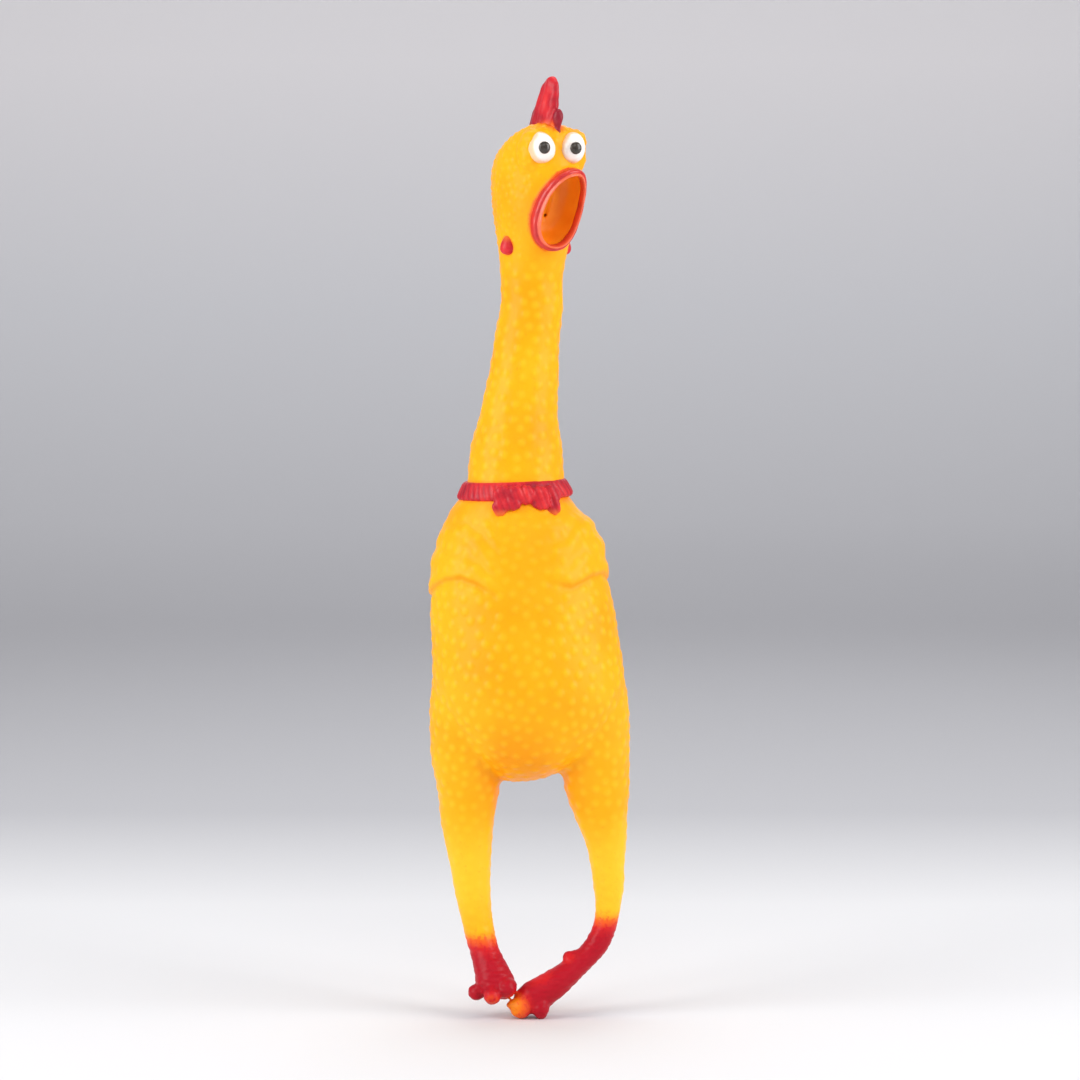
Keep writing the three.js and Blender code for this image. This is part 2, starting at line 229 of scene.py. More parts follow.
def blotchy_finish(name, patch_mm, detail, stops, marks=(), grain=None, **sockets):
    """A finish in soft patches, which changes colour where the piece is marked and may have a fine grain.

    A mark is the name of a layer on the points, how much of it counts, and the colour that it brings. A
    grain is its size and depth in millimetres, its detail and its strength.
    """
    material, shader = new_finish(name, **sockets)
    spot = add_node(material, "ShaderNodeTexCoord", out="Object")
    patches = add_node(material, NOISE, Vector=spot, Scale=1 / (patch_mm * MM), Detail=detail)
    tone = add_node(material, RAMP, stops=stops, Fac=patches)
    for layer, share, colour in marks:
        amount = add_node(material, MARK, {"attribute_name": layer}, out="Fac")
        amount = add_node(material, MATHS, TIMES, _0=amount, _1=share)
        tone = add_node(material, MIX, COLOURS, out=2, _0=amount, _6=tone, _7=rgb(colour))
    feed(material, shader, Base_Color=tone)
    if grain:
        size_mm, depth_mm, grain_detail, strength = grain
        rough = add_node(material, NOISE, Vector=spot, Scale=1 / (size_mm * MM), Detail=grain_detail)
        bump = add_node(material, BUMP, Height=rough, Distance=depth_mm * MM, Strength=strength)
        feed(material, shader, Normal=bump)
    return material, shader, spot, tone


print("recipe made for blotchy finishes")

# %% The floor and the backdrop
# The toes stand just clear of the floor.
FLOOR = CAD_BOX[0].z - 0.0006
FLOOR_HALF_WIDTH = 9.0
# The backdrop's profile: how far back, and how high.
SWEEP = [
    (-2.8, 0), (1.5, 0), (1.75, 0.02), (1.95, 0.09), (2.12, 0.24), (2.22, 0.5), (2.25, 0.9), (2.25, 3.6),
]
floor_bm = bmesh.new()
for y, z in SWEEP:
    floor_bm.verts.new((-FLOOR_HALF_WIDTH, y, FLOOR + z))
floor_bm.verts.ensure_lookup_table()
for a, b in zip(floor_bm.verts[:-1], floor_bm.verts[1:]):
    floor_bm.edges.new((a, b))
swept = bmesh.ops.extrude_edge_only(floor_bm, edges=floor_bm.edges[:])["geom"]
far_edge = [g for g in swept if isinstance(g, bmesh.types.BMVert)]
bmesh.ops.translate(floor_bm, vec=(2 * FLOOR_HALF_WIDTH, 0, 0), verts=far_edge)
bmesh.ops.recalc_face_normals(floor_bm, faces=floor_bm.faces)
floor = as_piece(floor_bm, "backdrop")
bend = floor.modifiers.new("smooth sweep", "SUBSURF")
bend.levels = bend.render_levels = 3
# Seamless paper scatters light evenly. Its tone is painted light and shade: pale on the floor, a painted
# shade where it starts to rise, and painted lighter again up the wall.
paper, paper_shader = new_finish("matte_paper_backdrop", Roughness=0.9)
spot = add_node(paper, "ShaderNodeTexCoord", out="Object")
away = add_node(paper, "ShaderNodeSeparateXYZ", out="Y", Vector=spot)
up = add_node(paper, "ShaderNodeSeparateXYZ", out="Z", Vector=spot)
on_wall = add_node(paper, "ShaderNodeMapRange", Value=away, From_Min=0.28, From_Max=0.6)
climb = add_node(paper, "ShaderNodeMapRange", Value=up, From_Min=FLOOR, From_Max=0.35)
PAINTED_WALL_TONES = [(0, "c2c2c6"), (0.14, "d1d1d5"), (0.46, "e2e2e6"), (0.85, "f8f5f7")]
painted_wall_light_and_shade = add_node(paper, RAMP, stops=PAINTED_WALL_TONES, Fac=climb)
tone = add_node(paper, MIX, COLOURS, out=2, _0=on_wall, _6=rgb("dfdfe1"), _7=painted_wall_light_and_shade)
feed(paper, paper_shader, Base_Color=tone)
floor.data.materials.append(paper)
print("floor at z, mm:", round(FLOOR / MM, 1))

# %% [markdown]
# ## Rounded forms from circles
#
# The body is drawn as a row of oval sections, as a boat is drawn as frames. Each row below is the middle
# of one section, x, y and z, and its half width and half depth, in millimetres from the hand's grip on
# the neck. A smooth curve runs through the rows, a circle is set on it every few millimetres, and
# neighbouring circles are bridged. Unlike sculpting, this keeps the outline exact and easy to change.

# %% Sections of the neck, belly, legs and feet
NECK_AND_BELLY = [
    (3.4, 0, 44, 13.2, 13), (3.3, 0, 30, 12.9, 12.8), (2.1, 0, 20, 13.5, 13.1),
    (0.9, 0, 10, 14, 13.4), (-0.1, 0, 0, 14.8, 14.1), (-1.6, 0, -10, 15.6, 14.8),
    (-2.4, 0, -20, 16.8, 16.1), (-3.1, 0, -30, 19, 17.7), (-3.4, 0, -40, 20.2, 18.8),
    (-3.4, 0, -46, 20.9, 19.4), (-3.9, 0, -51, 22.2, 20.4), (-4, -0.2, -55.3, 25.3, 21.8),
    (-4, -0.3, -58, 27.2, 22.8), (-2.4, -0.6, -63, 31, 24.4), (-1.9, -1, -71, 34.9, 26),
    (-2, -1.6, -80, 37, 27.4), (-1.7, -2.2, -90, 37.8, 28.8), (-0.4, -2.7, -101, 39.1, 30.2),
    (0.4, -3, -112, 39.7, 31), (1.6, -3.4, -124, 40.6, 31.8), (2.3, -3.5, -136, 40.6, 31.8),
    (2.8, -3.2, -149, 36, 30.2), (2.4, -2.4, -160, 27.5, 25.6), (1.6, -1.8, -166.5, 20, 20),
    (-0.8, -1.4, -170.5, 14.5, 14), (-3.6, -1, -173, 8.6, 8), (-5, -1, -174, 1.6, 1.6),
]
RIGHT_LEG = [
    (-20, 0, -112, 8, 10), (-21, -0.6, -124, 15.5, 18), (-22.2, -1, -137, 17.6, 20),
    (-23.2, -0.8, -151, 17.2, 19), (-24.2, -0.5, -164, 15.5, 16.6), (-23.7, 0, -178.7, 13.1, 13.4),
    (-24, 0, -188.9, 11.7, 12), (-23.8, 0, -199.1, 10.2, 10.6), (-23, 0, -209.3, 8.9, 9.4),
    (-22.1, 0, -219.6, 7.7, 8.2), (-20.9, 0, -229.8, 6.9, 7.4), (-19.2, -0.3, -238.5, 6.5, 6.9),
    (-17.4, -1.2, -245.5, 6.1, 6.7), (-15.6, -3, -251, 6.5, 7.2), (-13.6, -5.6, -256.5, 7.6, 8),
    (-12, -8, -261.5, 8.3, 7.6), (-12.4, -9.6, -265.5, 5.8, 5.8),
]
LEFT_LEG = [
    (22, 0, -112, 8, 10), (24.6, -0.6, -124, 15.5, 18), (26.6, -1, -137, 17.4, 20),
    (28.4, -0.8, -151, 16.8, 19), (30, -0.5, -164, 15.2, 16.6), (31.5, 0, -178.7, 13.4, 13.4),
    (33, 0, -188.9, 11.1, 11.6), (34.9, 0, -199.1, 9, 9.6), (35.6, 0, -209.3, 7.5, 8.1),
    (36.2, 0, -219.6, 6.5, 7), (35.9, 0, -228.6, 5.4, 6.1), (34.4, -0.3, -237, 5, 5.8),
    (31.2, -1.2, -244, 4.9, 5.8), (26, -2.6, -250.2, 4.8, 6), (18.8, -4.4, -256.6, 5.3, 6.6),
    (11, -6.2, -262, 6.3, 7), (3.8, -7.8, -266.2, 6.8, 6.8), (-0.8, -8.8, -268.6, 5.4, 5.6),
    (-3, -9.2, -269.6, 3.2, 3.6),
]
print("rows of sections:", len(NECK_AND_BELLY), len(RIGHT_LEG), len(LEFT_LEG))

# %% A loft through sections
STEPS_PER_ROW = 4


def through(rows, t):
    """A point on the smooth curve through the rows, with t from 0 at the first row to 1 at the last."""
    place = min(max(t, 0), 1) * (len(rows) - 1)
    i = min(int(place), len(rows) - 2)
    u = place - i
    around = [rows[min(max(k, 0), len(rows) - 1)] for k in range(i - 1, i + 3)]
    p0, p1, p2, p3 = (np.array(row, float) for row in around)
    bend = (2 * p0 - 5 * p1 + 4 * p2 - p3) * u**2
    twist = (3 * p1 - p0 - 3 * p2 + p3) * u**3
    return 0.5 * (2 * p1 + (p2 - p0) * u + bend + twist)


def bridge(bm, rings):
    """Joins a row of rings of vertices into a tube."""
    for a, b in zip(rings[:-1], rings[1:]):
        edges = {e for ring in (a, b) for v in ring for e in v.link_edges if e.other_vert(v) in ring}
        bmesh.ops.bridge_loops(bm, edges=list(edges))


def loft(bm, rows, to_row_frame=Matrix.Identity(4), level=False, sides=48):
    """A closed form through the rows. Sections are square to the line, or lie flat if level."""
    steps = (len(rows) - 1) * STEPS_PER_ROW
    rings = []
    for k in range(steps + 1):
        t = k / steps
        x, y, z, half_width, half_depth = through(rows, t)
        ahead, behind = through(rows, t + 0.01), through(rows, t - 0.01)
        along = Vector((0, 0, -1)) if level else Vector((ahead - behind)[:3]).normalized()
        side = Vector((along.z, 0, -along.x)).normalized()
        back = along.cross(side)
        turn = Matrix((side * half_width, back * half_depth, along)).transposed().to_4x4()
        place = to_row_frame @ Matrix.Scale(MM, 4) @ Matrix.Translation((x, y, z)) @ turn
        cap = k in (0, steps)
        ring = bmesh.ops.create_circle(bm, cap_ends=cap, segments=sides, radius=1, matrix=place)
        rings.append(ring["verts"])
    bridge(bm, rings)


def blob(bm, centre, radii, to_row_frame=Matrix.Identity(4), turn=Matrix.Identity(4)):
    """A rounded lump, by its centre and its radii in millimetres."""
    size = Matrix.Diagonal((*radii, 1))
    place = to_row_frame @ Matrix.Scale(MM, 4) @ Matrix.Translation(centre) @ turn @ size
    bmesh.ops.create_uvsphere(bm, u_segments=32, v_segments=20, radius=1, matrix=place)


print("half width at the middle row, mm:", round(through(NECK_AND_BELLY, 0.5)[3], 1))

# %% [markdown]
# ## The head
#
# The head is drawn facing straight forward and then turned to the chicken's left, by the same angle as
# the frame's own nodding axis. The open beak is a short, flared oval trumpet on the front of the skull.
# The brow over each eye and the cheekbone beside it are lumps of their own.

# %% The head's place and its sections
nod = next(j for j in frame["joints"] if j["name"] == "head_nod")
HEAD_YAW = math.atan2(nod["axis"][1], nod["axis"][0])
NECK_TOP_X = NECK_AND_BELLY[0][0]
HEAD = Matrix.Translation((NECK_TOP_X * MM, 0, 0)) @ Matrix.Rotation(HEAD_YAW, 4, "Z")
print("head turned by, degrees:", round(math.degrees(HEAD_YAW), 1))

SKULL = [
    (0, 0, 28, 12.9, 12.8), (0, 0, 36, 13, 12.9), (0, -0.2, 43, 13.2, 13.4), (0, -0.8, 51, 13.9, 15.8),
    (0, -1.5, 60, 14.9, 19.4), (0, -2, 70, 16.2, 21.6), (0, -2.3, 80, 17, 22.6),
    (0, -3.4, 87, 17, 22), (0, -5.6, 93, 16.2, 19.4), (0, -9, 98, 14.4, 15.6),
    (0, -11.6, 101.6, 11.2, 11.4), (0, -12.4, 104, 7, 7.6), (0, -12.5, 105, 1.6, 2),
]
MOUTH_MIDDLE = Vector((1.0, -27.3, 67.7))
MOUTH_TILT = 16
LIP_HALF_WIDTH, LIP_HALF_HEIGHT = 11.4, 17.7
# An ellipse has a squareness of 2. The lips lean over at the top, and their corners lie further back.
SQUARENESS = 2.2
LIP_LEAN = 0.165
LIP_FALL = 4.2
# In the mouth's own frame x is across, y is up along the lips, and z is outwards from the lips' front.
MOUTH = (
    HEAD
    @ Matrix.Translation(MOUTH_MIDDLE * MM)
    @ Matrix.Rotation(math.radians(90 + MOUTH_TILT), 4, "X")
)
EYES = [("right", -1), ("left", 1)]
# The eyes aren't quite even on a cast toy: the left one sits nearer to the middle.
EYE_ACROSS = {-1: -8.3, 1: 5.8}
EYE_FORWARD = {-1: 22.0, 1: 22.9}
EYE_HEIGHT = 94.5
EYE_RADII = (5.7, 6.2, 6.7)


def mouth_ring(bm, inset, depth, sides=96, cap=False):
    """An oval of the lips' outline, drawn in by inset and set at a depth, negative into the head."""
    ring = bmesh.ops.create_circle(bm, cap_ends=cap, segments=sides, radius=1)["verts"]
    for vert in ring:
        outward = abs(vert.co.x) ** SQUARENESS + abs(vert.co.y) ** SQUARENESS
        vert.co *= outward ** (-1 / SQUARENESS)
    size = Matrix.Diagonal((LIP_HALF_WIDTH - inset, LIP_HALF_HEIGHT - inset, 1, 1))
    bmesh.ops.transform(bm, matrix=size, verts=ring)
    for vert in ring:
        vert.co.x += LIP_LEAN * vert.co.y
        vert.co.z = depth - LIP_FALL * (vert.co.x / LIP_HALF_WIDTH) ** 2
    bmesh.ops.transform(bm, matrix=MOUTH @ Matrix.Scale(MM, 4), verts=ring)
    return ring


# %% [markdown]
# ## Fusing the forms into one skin
#
# The forms are closed and overlap, so a voxel remesh fuses them into one watertight surface. Booleans
# would leave hard creases where a leg meets the belly. A voxel of well under a millimetre is fine enough
# for the pebbles that come later. The skin is then relaxed, more where forms meet.

# %% The forms of the skin
forms = bmesh.new()
loft(forms, NECK_AND_BELLY, level=True, sides=72)
loft(forms, RIGHT_LEG)
loft(forms, LEFT_LEG)
loft(forms, SKULL, HEAD, level=True, sides=64)

TRUMPET = [(-1.6, -26), (-1.0, -18), (0.0, -11), (0.35, -6), (0.3, -3.6)]
ends = (TRUMPET[0], TRUMPET[-1])
bridge(forms, [mouth_ring(forms, *row, cap=row in ends) for row in TRUMPET])

BROW = ((8.6, -18.6, 97.6), (6.6, 6.2, 5.2))
CHEEKBONE = ((11.2, -16.0, 91.5), (4.6, 6.4, 8.0))
for _, side in EYES:
    for (x, y, z), radii in (BROW, CHEEKBONE):
        blob(forms, (side * x, y, z), radii, HEAD)

TOES = [
    ((-20.2, -6.5, -264.2), (3.7, 4.6, 3.5)), ((-13.6, -13.8, -264), (4, 5.4, 4.2)),
    ((-7.2, -12.4, -261), (4.2, 5.2, 4.4)), ((-16.6, -6, -263), (4.5, 4.5, 3.4)),
    ((-1.2, -10.6, -269.9), (4.7, 5, 4.9)), ((7, -10.6, -270), (3.8, 4.6, 5.2)),
    ((-4.2, -11, -268.8), (3.2, 3, 2)), ((19.4, -3, -250.4), (3.1, 3.4, 3.3)),
    ((22.6, -3, -249.4), (3, 3.4, 3)),
]
for centre, radii in TOES:
    blob(forms, centre, radii)
print("toes and knuckles:", len(TOES))

# %% [markdown]
# ## The shoulder and the tail
#
# The wings are low relief, drawn on the skin later. Only the high left shoulder, which breaks the
# outline, is a lump here. The tail is a row of lumps that shrink towards a short upturned point.

# %% Shoulder and tail
SHOULDER = ((23.5, -1, -67.5), (7.0, 15, 7.5))
blob(forms, *SHOULDER)
TAIL_X, TAIL_THICKNESS = 2, 5.5
TAIL_ROWS = [
    (20, -142, 12, 9), (28, -145, 9.5, 8), (34, -146, 6.5, 5.5), (38, -144.5, 3.6, 3.4),
    (39.4, -143, 1.6, 1.6),
]
for y, z, half_width, half_height in TAIL_ROWS:
    blob(forms, (TAIL_X, y, z), (half_width, min(TAIL_THICKNESS, half_width), half_height))
print("faces before fusing:", len(forms.faces))

# %% Fuse and relax


def fused(bm, name, voxel, relax):
    """One watertight skin around overlapping closed forms."""
    bmesh.ops.recalc_face_normals(bm, faces=bm.faces)
    rough = as_piece(bm, name)
    remesh = rough.modifiers.new("fuse", "REMESH")
    remesh.mode = "VOXEL"
    remesh.voxel_size = voxel
    smooth = rough.modifiers.new("relax", "SMOOTH")
    smooth.factor = 0.5
    smooth.iterations = relax
    made = bmesh.new()
    made.from_object(rough, bpy.context.evaluated_depsgraph_get())
    bpy.data.objects.remove(rough)
    return made


skin = fused(forms, "fused_skin", VOXEL, 6)
print("skin faces:", len(skin.faces))


def relax_where(bm, wanted, times):
    verts = [v for v in bm.verts if wanted(v.co / MM)]
    axes = {"use_axis_x": True, "use_axis_y": True, "use_axis_z": True}
    for _ in range(times):
        bmesh.ops.smooth_vert(bm, verts=verts, factor=0.5, **axes)


ROUNDS = 30
relax_where(skin, lambda p: -176 < p.z < -112, ROUNDS)  # thighs into the belly
relax_where(skin, lambda p: -66 < p.z < -56, ROUNDS // 3)  # shoulders
relax_where(skin, lambda p: 34 < p.z < 108, ROUNDS // 3)  # throat and face
relax_where(skin, lambda p: p.y > 18 and -160 < p.z < -130, ROUNDS // 2)  # root of the tail
spans = [max(side) - min(side) for side in zip(*(v.co for v in skin.verts))]
print("size of the skin, mm:", [round(span / MM, 1) for span in spans])


# %% [markdown]
# ## Wings in low relief
#
# Each folded wing is little more than a fold line: the skin swells above it and drops sharply below it.
# The line is given as heights at angles round the body, 0 at the front. Moving the skin's own points
# makes the relief without a seam. All the points are worked on as one table of numbers, for speed.

# %% Points of the skin as a table
points = np.array([v.co for v in skin.verts]) / MM
normals = np.array([v.normal for v in skin.verts])
# Each name is a column of the table, and follows it when the points move.
skin_x, skin_y, skin_z = points.T


def step_up(value, low, high):
    """0 below low, 1 above high, and a smooth rise between them."""
    t = np.clip((value - low) / (high - low), 0, 1)
    return t * t * (3 - 2 * t)


def window(value, low, high, soft):
    """1 between low and high, fading to 0 over a soft edge on both sides."""
    return step_up(value, low - soft, low + soft) * (1 - step_up(value, high - soft, high + soft))


print("points of the skin:", len(points))

# %% Wing folds
# The fold's line, as angles in degrees and heights.
WING_FOLDS = {
    -1: [
        (14, -92.4), (22, -90.8), (33, -86.9), (47, -84.4), (60, -85.6),
        (72, -88.6), (90, -94), (105, -92), (120, -85), (132, -72),
    ],
    1: [
        (20, -85), (28, -86.6), (40, -88), (60, -83.8), (75, -83.4),
        (90, -87), (105, -86), (120, -80), (132, -69),
    ],
}
WING_RISE = {-1: 1.3, 1: 0.8}
CREASE_DEPTH = 0.9
FEATHER_RISE = 0.45
BODY_X = -1.2
round_body = np.degrees(np.arctan2(skin_x - BODY_X, -skin_y))
painted_orange_shade = np.zeros(len(points))
relief = np.zeros(len(points))
for side, line in WING_FOLDS.items():
    angles, heights = zip(*line)
    angle = side * round_body
    above = skin_z - np.interp(angle, angles, heights)
    along = window(angle, angles[0] + 5, angles[-1] - 6, 7) * window(skin_z, -104, -60, 6)
    # The swelling dies away slowly up the wing and quickly under the line, where the crease is.
    swell = np.where(above > 0, np.exp(-above / 10), np.exp(above / 1.6))
    relief += along * WING_RISE[side] * swell
    relief -= along * CREASE_DEPTH * np.exp(-((above + 1.4) ** 2) / 4)
    # Two soft rows of feathers run across the wing, up towards the shoulder.
    feathers = np.sin((above - 0.22 * (angle - 40)) * 0.55)
    relief += along * FEATHER_RISE * feathers * window(above, 4, 24, 3)
    # The crease under each wing's line is painted a deeper orange, as shade.
    in_crease = np.exp(-((above + 0.9) ** 2) / 1.5)
    painted_orange_shade += 0.85 * along * in_crease * step_up(angle, angles[0], angles[0] + 26)
points += normals * relief[:, None]

# The pouch between the thighs and the middle of the chest are painted a deeper orange, as shade.
pouch = window(skin_x, -14, 12, 4) * (1 - step_up(skin_z, -164, -138)) * (skin_z > -176)
painted_orange_shade += 0.55 * pouch
middle = np.exp(-(((skin_x - 2) / 15) ** 2)) * window(skin_z, -150, -62, 12) * (skin_y < 0)
painted_orange_shade += 0.32 * middle
# The legs' walls come out thin, which makes them a lighter yellow.
thin = window(skin_z, -232, -196, 14)
print("wing relief, mm:", round(relief.min(), 2), "to", round(relief.max(), 2))

# %% [markdown]
# ## Pebbled skin
#
# The mould is engraved like plucked skin, with a raised dot every 5 mm or so on the body and finer ones
# on the head. The domes are real relief, so that light and the outline both show them. Their centres are
# random but never closer than a set distance. The engraver's faint rows are left out.

# %% Scatter centres and raise domes
NEIGHBOURS = [(a, b, c) for a in (-1, 0, 1) for b in (-1, 0, 1) for c in (-1, 0, 1)]


def scatter(wanted, spacing):
    """Points of the skin in a random order, keeping each that has no kept one within the spacing."""
    order = list(np.flatnonzero(wanted))
    random.shuffle(order)
    cells, kept = {}, []
    for i in order:
        p = points[i]
        x, y, z = (int(c // spacing) for c in p)
        close_by = (q for a, b, c in NEIGHBOURS for q in cells.get((x + a, y + b, z + c), ()))
        if all(np.sum((p - q) ** 2) >= spacing * spacing for q in close_by):
            cells.setdefault((x, y, z), []).append(p)
            kept.append(p)
    return kept


def domes(centres, wanted, radius):
    """How high each point stands on the nearest dome, from 0 to 1."""
    tree = KDTree(len(centres))
    for i, centre in enumerate(centres):
        tree.insert(centre, i)
    tree.balance()
    raised = np.zeros(len(points))
    for i in np.flatnonzero(wanted):
        raised[i] = max(0, 1 - (tree.find(points[i])[2] / radius) ** 2)
    return raised**1.3


# On the neck the two sizes of dot overlap, and the coarse ones fade out as the fine ones start.
BODY_SPACING, BODY_DOT_RADIUS = 4.7, 2.2
HEAD_SPACING, HEAD_DOT_RADIUS = 3.1, 1.35
HEAD_DOT_RISE = 0.34
on_body = skin_z < 58
on_head = skin_z > 40
body_centres = scatter(on_body, BODY_SPACING)
head_centres = scatter(on_head, HEAD_SPACING)
dot_and_highlight = domes(body_centres, on_body, BODY_DOT_RADIUS) * (1 - step_up(skin_z, 38, 56))
fine_pebble = domes(head_centres, on_head, HEAD_DOT_RADIUS) * step_up(skin_z, 42, 58)
# The dots stand highest on the belly, lower under the collar, and end above the feet.
dot_rise = 0.24 + 0.1 * step_up(skin_z, -48, -38)
dot_rise += 0.15 * window(skin_z, -188, -95, 15)
dot_rise -= 0.14 * window(skin_z, -60, -46, 4)
dot_rise *= step_up(skin_z, -243, -222)
# The face is smooth around the mouth.
in_mouth_frame = (np.c_[points * MM, np.ones(len(points))] @ np.array(MOUTH.inverted()).T)[:, :3] / MM
mouth_x, mouth_y, mouth_z = in_mouth_frame.T
mouth_out = mouth_z + LIP_FALL * (mouth_x / LIP_HALF_WIDTH) ** 2
from_mouth = np.hypot((mouth_x - LIP_LEAN * mouth_y) / LIP_HALF_WIDTH, mouth_y / LIP_HALF_HEIGHT)
fine_pebble *= np.where(mouth_out > -16, step_up(from_mouth, 1.05, 1.5), 1)
points += normals * (dot_and_highlight * dot_rise + fine_pebble * HEAD_DOT_RISE)[:, None]
# From here on the dots' heights give a painted highlight: their tops are painted a lighter yellow.
dot_and_highlight = dot_and_highlight * np.clip(dot_rise * 2.2, 0, 1) + fine_pebble * 0.5
print("domes:", len(body_centres), "on the body and", len(head_centres), "on the head")

# %% Unevenness of a hand-poured skin, and wrinkles on the feet
WOBBLE, WRINKLE = 0.45, 0.32
wobble = np.array([noise.noise(Vector(p) * 0.055) for p in points])
points += normals * (wobble * WOBBLE)[:, None]
wrinkle = np.array([noise.noise(Vector((p[0] * 0.22, p[1] * 0.22, p[2] * 0.75))) for p in points])
points += normals * (wrinkle * WRINKLE * (1 - step_up(skin_z, -240, -225)))[:, None]
print("wobble, mm:", round(np.ptp(wobble * WOBBLE), 2))

# %% [markdown]
# ## Where the spray reaches
#
# The maker sprays the red parts through cut-out masks, so the red has soft edges, and handling rubs the
# tips of the toes back to orange. A number on each of the skin's points says how much paint is there. It
# needs no unwrapping and keeps its place when the toy bends. The feet touch in the mould, so a line
# between them says which foot a point is on: it slants up from the toes and then runs straight up.

# %% Where the sprayed paint fades out on the skin


def near(place, radius, soft):
    """1 within a radius of a place, fading to 0 a little further out."""
    return 1 - step_up(np.linalg.norm(points - np.array(place), axis=1), radius, radius + soft)


def on_head_at(x, y, z):
    return tuple((HEAD @ (Vector((x, y, z)) * MM)) / MM)


SPLIT_X, SPLIT_Z = -2.4, -263
SPLIT_SLOPE, SPLIT_RISE = 0.9, 8


def split_x(z):
    """Where the right foot ends and the left one starts, at a height."""
    return SPLIT_X + SPLIT_SLOPE * np.minimum(SPLIT_RISE, z - SPLIT_Z)


right_foot_paint = 1 - step_up(skin_z, -251.5, -234.5)
left_foot_paint = 1 - step_up(skin_z, -243, -226.5)
paint = np.where(skin_x < split_x(skin_z), right_foot_paint, left_foot_paint)
# Each worn place has a radius, a soft edge and a share of the paint that is gone.
WORN = [
    ((-3.4, -12, -269.4), 2.6, 7.5, 0.7), ((7, -8, -257), 3, 5, 0.22), ((-13.5, -18, -266), 2, 4, 0.4),
    ((19.4, -5, -251), 2, 3, 0.25),
]
worn = sum(near(place, radius, soft) * share for place, radius, soft, share in WORN)
paint = np.clip(paint - worn, 0, 1)
WATTLE_ACROSS, WATTLE_FORWARD = 13.3, 3.2
comb_root = np.max([near(on_head_at(0, -f, 102.5), 2.2, 4.5) for f in range(4, 22, 3)], axis=0)
jaw_corners = [on_head_at(side * WATTLE_ACROSS, -WATTLE_FORWARD, 54) for side in (-1, 1)]
wattle_root = np.max([near(corner, 2.6, 3) for corner in jaw_corners], axis=0)
lips = np.where(mouth_out > -6, 1 - step_up(from_mouth, 0.98, 1.1), 0)
collar_edge = window(skin_z, -54.5, -44.8, 1.0) * (skin_z > -70)
paint = np.maximum.reduce([paint, comb_root * 0.4, wattle_root * 0.4, lips * 0.45, collar_edge * 0.2])
print("painted share of the skin:", round(float((paint > 0.5).mean()), 3))

# %% Write the shape and its marks back
MARKS = {"dot_and_highlight": dot_and_highlight, "paint": paint, "painted_orange_shade": painted_orange_shade, "thin": thin}
for name, values in MARKS.items():
    layer = skin.verts.layers.float.new(name)
    for vert, value in zip(skin.verts, values):
        vert[layer] = value
for vert, place in zip(skin.verts, points):
    vert.co = Vector(place) * MM
print("marks on the skin:", *MARKS)

# %% [markdown]
# ## The mouth's opening and the cuts
#
# The skin is opened behind the lips. It is then cut along planes into pieces that each cross one place
# where the toy bends, because a piece can bend between two bodies only. The two sides of a cut keep the
# same points and the same shading directions, taken from the whole skin, so that no seam shows.

# %% Open the mouth and cut
to_mouth = MOUTH.inverted()
OPENING_HALF_WIDTH, OPENING_HALF_HEIGHT = 9.7, 16.0


def behind_lips(place):
    p = to_mouth @ place / MM
    out = p.z + LIP_FALL * (p.x / LIP_HALF_WIDTH) ** 2
    across = p.x - LIP_LEAN * p.y
    return out > -9 and math.hypot(across / OPENING_HALF_WIDTH, p.y / OPENING_HALF_HEIGHT) < 1


opening = [f for f in skin.faces if all(behind_lips(v.co) for v in f.verts)]
bmesh.ops.delete(skin, geom=opening, context="FACES")

# The heights of the level cuts, from the head down.
HEAD_CUT, TWIST_CUT, SWAY_CUT = 21, -4, -31
HIP_CUT, KNEE_CUT, ANKLE_CUT = -175, -196, -220
FEET_TOUCH_BELOW = -252
BELLY_LOW, BELLY_HIGH = -166, -90
BELLY_START = Vector((1, -29, -136))
BELLY_WAY = Vector((0, -1, -0.07))


def cut(faces, place, way):
    around = {g for f in faces for g in (*f.verts, *f.edges)} | set(faces)
    bmesh.ops.bisect_plane(skin, geom=list(around), dist=1e-6, plane_co=place * MM, plane_no=way)


def middle_of(face):
    return face.calc_center_median() / MM


for level in (HEAD_CUT, TWIST_CUT, SWAY_CUT, HIP_CUT, KNEE_CUT, ANKLE_CUT):
    band = [f for f in skin.faces if abs(middle_of(f).z - level) < 4]
    cut(band, Vector((0, 0, level)), (0, 0, 1))
front = [f for f in skin.faces if -173 < middle_of(f).z < -88 and middle_of(f).y < -22]
cut(front, BELLY_START, BELLY_WAY)
# The skin between the two feet is cut along the slanting line that tells them apart.
FEET_MEET = Vector((SPLIT_X, 0, SPLIT_Z))
FEET_APART = Vector((1, 0, -SPLIT_SLOPE)).normalized()
cut([f for f in skin.faces if middle_of(f).z < FEET_TOUCH_BELOW], FEET_MEET, FEET_APART)
skin.normal_update()
whole_normal = skin.verts.layers.float_vector.new("whole_normal")
for vert in skin.verts:
    vert[whole_normal] = vert.normal
print("opened with", len(opening), "faces removed")


# %% Which piece each face belongs to
def piece_of(face):
    x, y, z = middle_of(face)
    side = "right" if x < split_x(z) else "left"
    if z > HEAD_CUT:
        return "head_skin"
    if z > TWIST_CUT:
        return "twist_skin"
    if z > SWAY_CUT:
        return "sway_skin"
    if z > HIP_CUT:
        ahead = (Vector((x, y, z)) - BELLY_START).dot(BELLY_WAY) > 0
        return "belly_skin" if ahead and BELLY_LOW < z < BELLY_HIGH else "body_skin"
    if z > KNEE_CUT:
        return side + "_hip_skin"
    return side + ("_knee_skin" if z > ANKLE_CUT else "_foot_skin")


names = [piece_of(f) for f in skin.faces]
# A cut leaves no face of the skin with more corners than this, so a face with more of them is a cap.
MOST_CORNERS = 6


